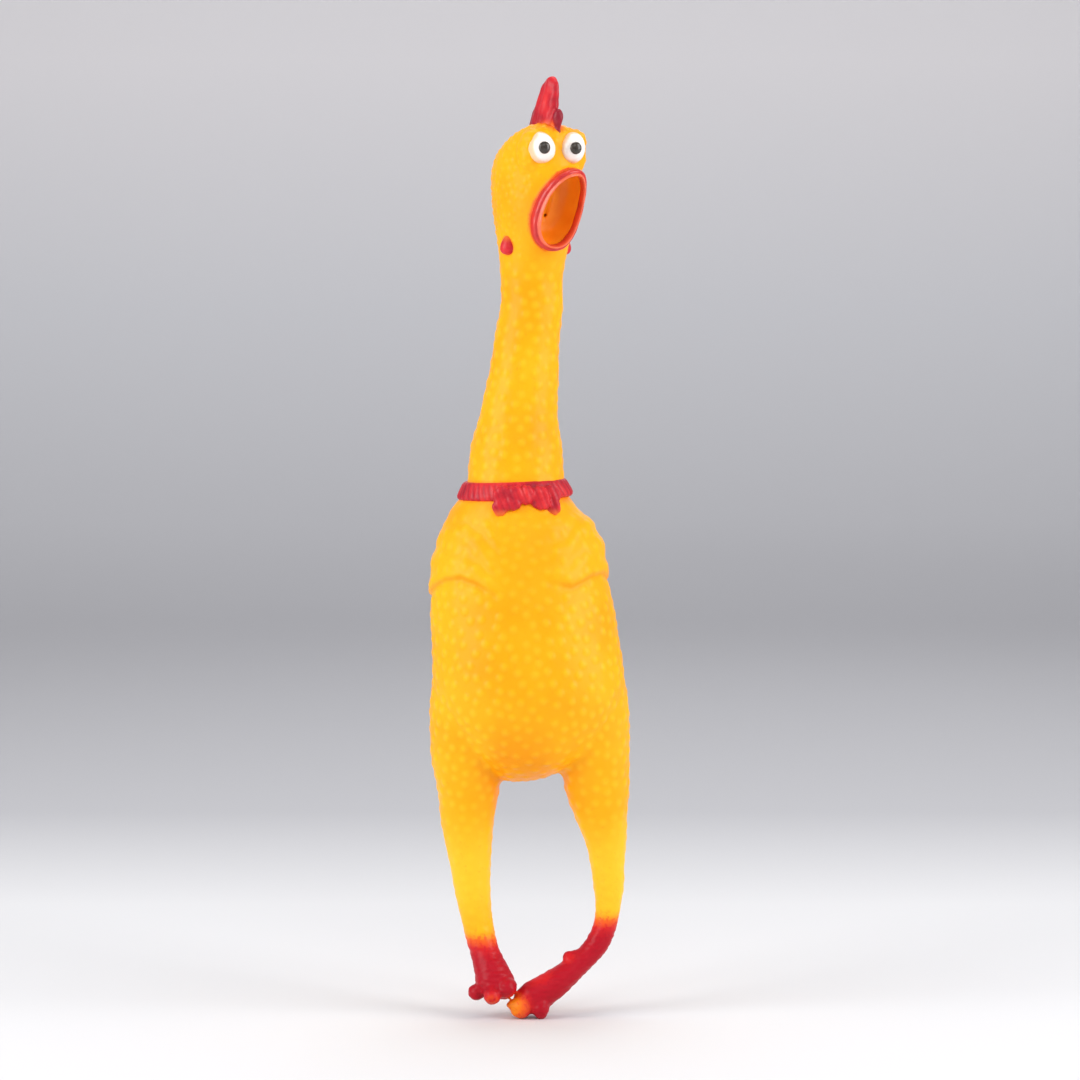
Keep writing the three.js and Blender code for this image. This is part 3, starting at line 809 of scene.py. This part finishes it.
def skin_piece(name):
    part = skin.copy()
    gone = [f for f, belongs in zip(part.faces, names) if belongs != name]
    bmesh.ops.delete(part, geom=gone, context="FACES")
    # A foot is closed again where it touched the other one.
    rim = [e for e in part.edges if e.is_boundary and e.verts[0].co.z / MM < FEET_TOUCH_BELOW]
    if rim:
        caps = bmesh.ops.holes_fill(part, edges=rim, sides=0)["faces"]
        bmesh.ops.split(part, geom=caps)
        away = FEET_APART * (1 if name.startswith("right") else -1)
        layer = part.verts.layers.float_vector["whole_normal"]
        for face in part.faces:
            if len(face.verts) > MOST_CORNERS:
                for vert in face.verts:
                    vert[layer] = away
                if face.normal.dot(away) < 0:
                    face.normal_flip()
        print(name, "closed with", len(caps), "caps")
    made = as_piece(part, name)
    directions = made.data.attributes["whole_normal"]
    made.data.normals_split_custom_set_from_vertices([d.vector[:] for d in directions.data])
    made.data.attributes.remove(made.data.attributes["whole_normal"])
    print(name, len(made.data.polygons), "faces")
    return made


print("pieces of skin:", len(set(names)))


BODY_NODES = ["torso_shell", "neck_bend_zone", "right_wing", "left_wing", "tail"]
# For each piece: the two bodies it joins, the heights where its bend starts and ends, and the nodes it
# stands for.
BENDS = {
    "head_skin": ("upper_neck", "head", 22.5, 35.5, ["head_shell", "head_nod_zone"]),
    "twist_skin": ("neck", "upper_neck", 2, 19, ["neck_skin", "upper_neck_skin"]),
    "sway_skin": ("neck", "lower_neck", -12, -30, ["lower_neck_skin", "neck_sway_zone"]),
    "body_skin": ("lower_neck", "torso", -32, -52, BODY_NODES),
}
for side in ("right", "left"):
    thigh, shin, foot = side + "_thigh", side + "_shin", side + "_foot"
    BENDS[side + "_hip_skin"] = ("torso", thigh, -175.5, -194.5, [thigh, side + "_hip_zone"])
    BENDS[side + "_knee_skin"] = (thigh, shin, -203, -214.5, [shin, side + "_knee_zone"])
    BENDS[side + "_foot_skin"] = (shin, foot, -225.5, -239.5, [foot, side + "_ankle_zone"])

skins = []
for name, (near_body, far_body, start, end, stands_for) in BENDS.items():
    made = skin_piece(name)
    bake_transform(made)
    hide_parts(*stands_for)
    skins.append(made)

belly = skin_piece("belly_skin")
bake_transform(belly)
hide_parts("belly_panel")
skins.append(belly)
skin.free()

# %% [markdown]
# ## Vinyl finishes
#
# The vinyl is coloured right through, so its colour only shifts a little: paler yellow on the legs,
# where it is thin. The tops of the dots are painted lighter, as highlight, and the folds, the pouch and
# the middle of the chest are painted a deeper orange, as shade. The red is thin sprayed paint, which fades
# out over several millimetres and lets the orange through. The finish reads these marks from the skin's
# points by name. Every fine grain is drawn at half a millimetre or more, coarser than the real one, so
# that it shows.

# %% Yellow vinyl with sprayed ends
# Cast plasticised PVC, not polished: a satin skin with an index near 1.53 and broad soft highlights.
vinyl, vinyl_shader, spot, tone = blotchy_finish(
    "cast_soft_pvc_yellow",
    patch_mm=26,
    detail=2,
    stops=[(0.3, "fc9f07"), (0.5, "ffa90a"), (0.72, "ffb213")],
    # The first mark paints a highlight on the dots' tops, and the second paints shade, a deeper orange, in
    # the creases, the pouch and the chest's middle.
    marks=[("dot_and_highlight", 0.5, "ffc426"), ("painted_orange_shade", 0.55, "e88008"), ("thin", 0.6, "ffcc30")],
    grain=(0.9, 0.1, 2, 0.5),
    IOR=1.53,
    Specular_IOR_Level=0.14,
)
# Spray leaves fine droplets along its fading edge.
droplets = add_node(vinyl, NOISE, Vector=spot, Scale=1 / (1.6 * MM), Detail=3)
droplets = add_node(vinyl, MATHS, {"operation": "SUBTRACT", "use_clamp": True}, _0=droplets, _1=0.5)
droplets = add_node(vinyl, MATHS, TIMES, _0=droplets, _1=0.6)
paint_mark = add_node(vinyl, MARK, {"attribute_name": "paint"}, out="Fac")
spray = add_node(vinyl, MATHS, {"operation": "ADD", "use_clamp": True}, _0=paint_mark, _1=droplets)
SPRAY_TONES = [(0.1, "f7961a"), (0.4, "ee6420"), (0.7, "cc2024"), (1, "ad1022")]
spray_tone = add_node(vinyl, RAMP, stops=SPRAY_TONES, Fac=spray)
cover = add_node(vinyl, RAMP, stops=[(0.06, "000000"), (0.4, "ffffff")], Fac=spray)
tone = add_node(vinyl, MIX, COLOURS, out=2, _0=cover, _6=tone, _7=spray_tone)
# Handling polishes the skin unevenly.
rubbed = add_node(vinyl, NOISE, Vector=spot, Scale=1 / (5 * MM), Detail=3)
rubbed = add_node(vinyl, RAMP, stops=[(0.3, "989898"), (0.7, "b0b0b0")], Fac=rubbed)
feed(vinyl, vinyl_shader, Base_Color=tone, Roughness=rubbed)
for made in skins:
    made.data.materials.append(vinyl)
print("vinyl on", len(skins), "pieces of skin")

# %% Red paint on vinyl
# Sprayed enamel: smoother than the bare skin and a little glossier, and orange where it is thin. Its shade
# mark is painted shade, a darker red where less light falls.
red, *_ = blotchy_finish(
    "sprayed_red_enamel_on_pvc",
    patch_mm=7,
    detail=3,
    stops=[(0.3, "a81226"), (0.5, "c81a28"), (0.7, "de3030")],
    marks=[("shade", 1, "7c0c26"), ("fade", 1, "f08024")],
    grain=(1.2, 0.12, 3, 0.5),
    Roughness=0.42,
    IOR=1.53,
    Specular_IOR_Level=0.3,
)
print("made", red.name)

# %% [markdown]
# ## The comb and the wattles
#
# The comb is one leaning lobe with a smaller one in front of it. Flat oval sections give it soft edges,
# and fusing the two lobes gives the groove between them. The wattles are small drops that hang at the
# jaw's corners, embedded in the skin.

# %% Comb
COMB_ROWS = [
    (0, -11.5, 94, 3.4, 11.4), (0, -11, 100, 3.2, 12.4), (0, -11, 105, 3, 11.6),
    (0, -12.2, 110, 2.8, 9.2), (0, -14.2, 115, 2.5, 7), (0, -16.2, 119.6, 2.4, 5.4),
    (0, -17.8, 122.6, 2, 3.6), (0, -18.4, 124, 0.7, 1.1),
]
comb_forms = bmesh.new()
loft(comb_forms, COMB_ROWS, HEAD, sides=40)
blob(comb_forms, (0, -21.8, 106.6), (2.0, 2.8, 4.2), HEAD)
comb_bm = fused(comb_forms, "comb_rough", 0.5 * MM, 5)
from_head = HEAD.inverted()
shade = comb_bm.verts.layers.float.new("shade")
fade = comb_bm.verts.layers.float.new("fade")
for vert in comb_bm.verts:
    p = from_head @ vert.co / MM
    forward = -p.y
    # Shallow grooves fan up the lobe.
    groove = math.sin(1.15 * (forward - 0.42 * (p.z - 98))) * 0.22 + noise.noise(p * 0.3) * 0.35
    vert.co += vert.normal * groove * MM
    # Painted shade: the small front lobe and the lower rear of the comb are a darker red.
    front_lobe = float(step_up(forward, 20.6, 22)) * (1 - float(step_up(p.z, 112, 114)))
    rear_shade = float(step_up(16 - forward, 0, 14)) * (1 - float(step_up(p.z, 108, 121)))
    vert[shade] = max(0.7 * rear_shade, 0.8 * front_lobe)
    root_fade = float(step_up(forward, 8, 15)) * (1 - float(step_up(p.z, 102.5, 107)))
    vert[fade] = 0.9 * root_fade * (1 - front_lobe)
comb = as_piece(comb_bm, "comb_red")
fit(comb, red, "head", "comb")

# %% Wattles
WATTLE_ROWS = [
    (58.4, 0.8, 1.2), (57, 2, 2.4), (54.8, 3.1, 3.2), (52.4, 3.5, 3.6), (50.6, 2.6, 2.7),
    (49.8, 0.5, 0.5),
]
for name, side in EYES:
    drop = bmesh.new()
    x, y = side * WATTLE_ACROSS, -WATTLE_FORWARD
    rows = [(x, y, z, half_width, half_depth) for z, half_width, half_depth in WATTLE_ROWS]
    loft(drop, rows, HEAD, level=True, sides=32)
    wattle_bm = fused(drop, "wattle_rough", 0.4 * MM, 3)
    wattle_fade = wattle_bm.verts.layers.float.new("fade")
    for vert in wattle_bm.verts:
        p = from_head @ vert.co / MM
        vert[wattle_fade] = 0.7 * float(step_up(p.z, 54.5, 58))
    wattle = as_piece(wattle_bm, name + "_wattle_red")
    fit(wattle, red, "head", name + "_wattle")

# %% [markdown]
# ## The open beak
#
# The lips are a thick oval ring with a step outside and a thin raised bead inside, and behind them is a
# deep cup of bare orange vinyl. Both are bridged rows of ovals, so their profiles stay crisp. A small
# hole low in the cup's back lets the squeaker's air out.

# %% Lips
lip_bm = bmesh.new()
bead_highlight = lip_bm.verts.layers.float.new("bead_highlight")
# Each ring's inset and depth, and how much painted highlight it gets along the bead.
LIP_PROFILE = [
    (0.6, -5.2, 0), (0, -3.9, 0), (0, -2.2, 0), (0.2, -1.4, 0), (0.6, -1, 0), (1, -1.05, 0),
    (1.3, -1.15, 0.1), (1.5, -0.8, 0.6), (1.7, -0.3, 1), (2, -0.05, 1), (2.3, -0.2, 1),
    (2.55, -0.8, 0.6), (2.7, -2, 0.2), (2.75, -4.4, 0), (1.8, -5.2, 0),
]
lip_rings = []
for inset, depth, bright in LIP_PROFILE:
    ring = mouth_ring(lip_bm, inset, depth)
    for vert in ring:
        vert[bead_highlight] = bright
    lip_rings.append(ring)
bridge(lip_bm, lip_rings + lip_rings[:1])
bmesh.ops.recalc_face_normals(lip_bm, faces=lip_bm.faces)
for vert in lip_bm.verts:
    p = to_mouth @ vert.co / MM
    # No two millimetres of a cast lip are quite alike.
    vert.co += vert.normal * noise.noise(p * 0.35) * 0.25 * MM
lips_piece = as_piece(lip_bm, "lips")
soften = lips_piece.modifiers.new("soften", "SUBSURF")
soften.levels = soften.render_levels = 1
# Thin sprayed enamel, glossier than the skin, with a painted highlight along the raised bead.
lip_paint, *_ = blotchy_finish(
    "sprayed_orange_red_lips_on_pvc",
    patch_mm=6,
    detail=3,
    stops=[(0.35, "b81a1e"), (0.65, "d62c1e")],
    marks=[("bead_highlight", 1, "f26a45")],
    grain=(1.1, 0.1, 2, 0.4),
    Roughness=0.3,
    IOR=1.53,
)
fit(lips_piece, lip_paint, "head", "mouth_rim")

# %% The cup behind the lips
cup_bm = bmesh.new()
cup_depth_shade = cup_bm.verts.layers.float.new("depth")
CUP_INSIDE = [
    (2.3, -2.4), (2.4, -5), (2.8, -8), (3.6, -10.6), (4.8, -12.6), (6.2, -13.9), (7.9, -14.6), (9.2, -14.8),
]
CUP_OUTSIDE = [(7.6, -16.6), (5.0, -16.2), (2.7, -14.6), (1.8, -12.4), (1.5, -9), (1.5, -4)]
CUP_SIDES = 72
HOLE_X, HOLE_Y, HOLE_RADIUS = -0.9, -5.6, 0.8
cup_rings = [mouth_ring(cup_bm, inset, depth, CUP_SIDES) for inset, depth in CUP_INSIDE]
for depth in (-15.0, -16.7):
    hole_size = Matrix.Diagonal((HOLE_RADIUS, HOLE_RADIUS, 1, 1))
    place = MOUTH @ Matrix.Scale(MM, 4) @ (Matrix.Translation((HOLE_X, HOLE_Y, depth)) @ hole_size)
    hole = bmesh.ops.create_circle(cup_bm, cap_ends=False, segments=CUP_SIDES, radius=1, matrix=place)
    cup_rings.append(hole["verts"])
cup_rings += [mouth_ring(cup_bm, inset, depth, CUP_SIDES) for inset, depth in CUP_OUTSIDE]
bridge(cup_bm, cup_rings + cup_rings[:1])
bmesh.ops.recalc_face_normals(cup_bm, faces=cup_bm.faces)
# Painted shade: the orange darkens deeper into the cup.
for vert in cup_bm.verts:
    vert[cup_depth_shade] = float(step_up(-(to_mouth @ vert.co / MM).z, 3, 15))
cup = as_piece(cup_bm, "mouth_cup")
# Bare cast vinyl where the spray doesn't reach: a warm orange, with painted shade that deepens it towards
# the back of the cup.
bare, *_ = blotchy_finish(
    "cast_orange_pvc_mouth",
    patch_mm=9,
    detail=3,
    stops=[(0.35, "f5931a"), (0.65, "fda626")],
    marks=[("depth", 0.5, "f0870f")],
    grain=(3.5, 0.35, 3, 0.6),
    Roughness=0.35,
    IOR=1.53,
    Specular_IOR_Level=0.22,
)
fit(cup, bare, "head", "mouth_lining")

# %% [markdown]
# ## Eyes
#
# The whites bulge like eggs that lean together at the bottom, and the pupils are domed dark spots that
# look to one side. Each white is a stretched sphere, narrowed towards its top and then leaned.

# %% Whites and pupils
# Brushed gloss paint: it shines sharply, with faint brush ripples, and the vinyl warms its edge.
gloss_white, *_ = blotchy_finish(
    "glossy_white_paint_on_pvc",
    patch_mm=5,
    detail=2,
    stops=[(0.3, "f1e4dc"), (0.6, "fbf6f1")],
    marks=[("rim", 1, "f0c9a0")],
    grain=(2.5, 0.1, 2, 0.25),
    Roughness=0.22,
)
# A dab of black gloss, which is a soft brown-black where it lies thin.
gloss_black, *_ = blotchy_finish(
    "glossy_black_paint_on_pvc",
    patch_mm=1.5,
    detail=2,
    stops=[(0.3, "26211d"), (0.7, "463d36")],
    grain=(1.2, 0.1, 2, 0.3),
    Roughness=0.12,
)

EYE_LEAN = 16
PUPIL_ACROSS = {-1: -1.7, 1: -1.3}
PUPIL_UP = -0.3
PUPIL_RADII = (2.45, 2.6, 1.25)
EYE_RX, EYE_RY, EYE_RZ = EYE_RADII
for name, side in EYES:
    lean = Matrix.Rotation(math.radians(side * EYE_LEAN), 4, "Y")
    centre = Vector((EYE_ACROSS[side], -EYE_FORWARD[side], EYE_HEIGHT))
    eye_bm = bmesh.new()
    bmesh.ops.create_uvsphere(eye_bm, u_segments=64, v_segments=40, radius=1)
    rim = eye_bm.verts.layers.float.new("rim")
    for vert in eye_bm.verts:
        vert[rim] = float(step_up(vert.co.y, -0.62, -0.35))
        vert.co.x *= 1 - 0.13 * vert.co.z
    in_place = HEAD @ Matrix.Scale(MM, 4) @ Matrix.Translation(centre)
    place = in_place @ lean @ Matrix.Diagonal((*EYE_RADII, 1))
    bmesh.ops.transform(eye_bm, matrix=place, verts=eye_bm.verts)
    white = as_piece(eye_bm, name + "_eye_white")
    fit(white, gloss_white, "head", name + "_eye")

    # The pupil sits on the white's surface and faces straight out of it.
    across = PUPIL_ACROSS[side]
    out = math.sqrt(1 - (across / EYE_RX) ** 2 - (PUPIL_UP / EYE_RZ) ** 2)
    on_white = centre + Vector((across, -out * EYE_RY, PUPIL_UP))
    facing = Vector((across / EYE_RX**2, -out / EYE_RY, PUPIL_UP / EYE_RZ**2)).normalized()
    turn = facing.to_track_quat("Z", "Y").to_matrix().to_4x4() @ Matrix.Diagonal((*PUPIL_RADII, 1))
    pupil_bm = bmesh.new()
    bmesh.ops.create_uvsphere(pupil_bm, u_segments=48, v_segments=28, radius=1)
    place = HEAD @ Matrix.Scale(MM, 4) @ Matrix.Translation(on_white) @ turn
    bmesh.ops.transform(pupil_bm, matrix=place, verts=pupil_bm.verts)
    pupil = as_piece(pupil_bm, name + "_pupil_dark")
    fit(pupil, gloss_black, "head", name + "_pupil")

# %% [markdown]
# ## The collar and its bow
#
# A red neckerchief is moulded round the foot of the neck, and widens towards the shoulders. Rings that
# follow the body's own sections make the band, and fine slanting gathers are pressed into it. The bow is
# a few lumps laid on the band and fused.

# %% Collar
collar_bm = bmesh.new()
COLLAR_PROFILE = [
    (-45.4, 19.8), (-45.3, 20.9), (-45.7, 21.7), (-46.6, 22.3), (-48, 23), (-49.6, 23.8),
    (-51.1, 24.4), (-52.1, 24.4), (-52.8, 23.9), (-53.1, 22.9), (-52.8, 21.5),
]
COLLAR_X, COLLAR_Z = -3.9, -49
# The neck is a little wider than it is deep.
COLLAR_FLATNESS = 0.93
# The band sits a little higher at the chicken's left.
COLLAR_TILT = (
    Matrix.Translation((0, 0, COLLAR_Z))
    @ Matrix.Rotation(math.radians(-2.2), 4, "Y")
    @ Matrix.Translation((0, 0, -COLLAR_Z))
)
collar_rings = []
for z, half_width in COLLAR_PROFILE:
    size = Matrix.Diagonal((half_width, half_width * COLLAR_FLATNESS, 1, 1))
    tilted = Matrix.Scale(MM, 4) @ Matrix.Translation((COLLAR_X, 0, 0)) @ COLLAR_TILT
    place = tilted @ Matrix.Translation((0, 0, z)) @ size
    ring = bmesh.ops.create_circle(collar_bm, cap_ends=False, segments=320, radius=1, matrix=place)
    collar_rings.append(ring["verts"])
bridge(collar_bm, collar_rings + collar_rings[:1])
bmesh.ops.recalc_face_normals(collar_bm, faces=collar_bm.faces)
collar_shade = collar_bm.verts.layers.float.new("shade")
for vert in collar_bm.verts:
    p = vert.co / MM
    angle = math.atan2(p.x - COLLAR_X, -p.y)
    gather = math.sin(angle * 46 + (p.z + 52) * 0.75 + 1.6 * noise.noise(p * 0.16))
    outside = float(window(p.z - 0.038 * (p.x - COLLAR_X), -52.6, -46.2, 0.7))
    vert.co += vert.normal * (0.2 * gather + 0.3 * noise.noise(p * 0.2)) * outside * MM
    beside_bow = float(step_up(abs(math.degrees(angle)), 40, 80))
    # Painted shade: a darker red in the gathers' hollows and on the band's sides, away from the bow.
    vert[collar_shade] = 0.35 * max(0, -gather) * outside + 0.25 * beside_bow
collar = as_piece(collar_bm, "collar_band")
fit(collar, red, "torso", "collar")

# %% Bow


def front_of_collar(x, z, out):
    """How far forward the band or the chest is at a place, plus out."""
    half_width = float(np.interp(-z, [45, 53, 60], [20.8, 24.4, 28.6]))
    half_depth = float(np.interp(-z, [45, 53, 60], [19.4, 22.8, 23.3]))
    return -(half_depth + out) * math.sqrt(max(0, 1 - ((x - COLLAR_X) / half_width) ** 2))


BOW_X = 1.2
# Each lump's x and z from the bow's middle line, its half width, depth and height, and its roll.
bow_forms = bmesh.new()
BOW_LUMPS = [(0, -50.6, 3.2, 2.4, 4.4, 0)]
for side in (-1, 1):
    BOW_LUMPS += [
        (side * 5.0, -51.2, 4.8, 2.0, 4.6, 0), (side * 9.8, -51.4, 4.6, 1.9, 4.8, side * 10),
        (side * 11.0, -55.4, 3.4, 1.6, 4.2, side * -14), (side * 6.2, -54.2, 4.0, 1.6, 3.0, 0),
    ]
for x, z, half_width, half_depth, half_height, roll in BOW_LUMPS:
    y = front_of_collar(BOW_X + x, z, 0.6)
    turn = Matrix.Rotation(math.radians(roll), 4, "Y")
    blob(bow_forms, (BOW_X + x, y, z), (half_width, half_depth, half_height), turn=turn)
bow_bm = fused(bow_forms, "bow_rough", 0.45 * MM, 4)
bow_shade = bow_bm.verts.layers.float.new("shade")
bow_fade = bow_bm.verts.layers.float.new("fade")
for vert in bow_bm.verts:
    p = vert.co / MM
    pleat = math.sin((p.x - 1.5) * 2.3 + (p.z + 52) * 0.9)
    vert.co += vert.normal * (0.16 * pleat + 0.3 * noise.noise(p * 0.3)) * MM
    # Painted shade in the hollows of the pleats.
    vert[bow_shade] = 0.25 * max(0, -pleat)
    vert[bow_fade] = 0.7 * (1 - float(step_up(p.z, -59.6, -55.8)))
bow = as_piece(bow_bm, "neckerchief_bow")
fit(bow, red, "torso", "collar_bow")

# %% [markdown]
# ## The squeaker inside the head
#
# The squeaker keeps its shapes from the frame: a barrel with a grille, a block with its wedge, and a thin
# film reed that buzzes. They only need finishes.

# %% Squeaker finishes
# Injection-moulded polythene: waxy, with a faint grain from the mould.
ivory, *_ = blotchy_finish(
    "injection_moulded_polythene_ivory",
    patch_mm=4,
    detail=3,
    stops=[(0.3, "ded7c2"), (0.7, "ece6d6")],
    grain=(0.5, 0.03, 2, 0.5),
    Roughness=0.4,
)
# Thin polyester film: smooth, with a bluish haze.
film, *_ = blotchy_finish(
    "hazy_polyester_film",
    patch_mm=1.5,
    detail=2,
    stops=[(0.3, "aebfc9"), (0.7, "c6d5dd")],
    Roughness=0.25,
)
for node in ("squeaker_barrel", "squeaker_grille", "reed_block", "reed_wedge", "reed"):
    for slot in frame["nodes"][node].material_slots:
        slot.material = film if node == "reed" else ivory
print("squeaker finished")
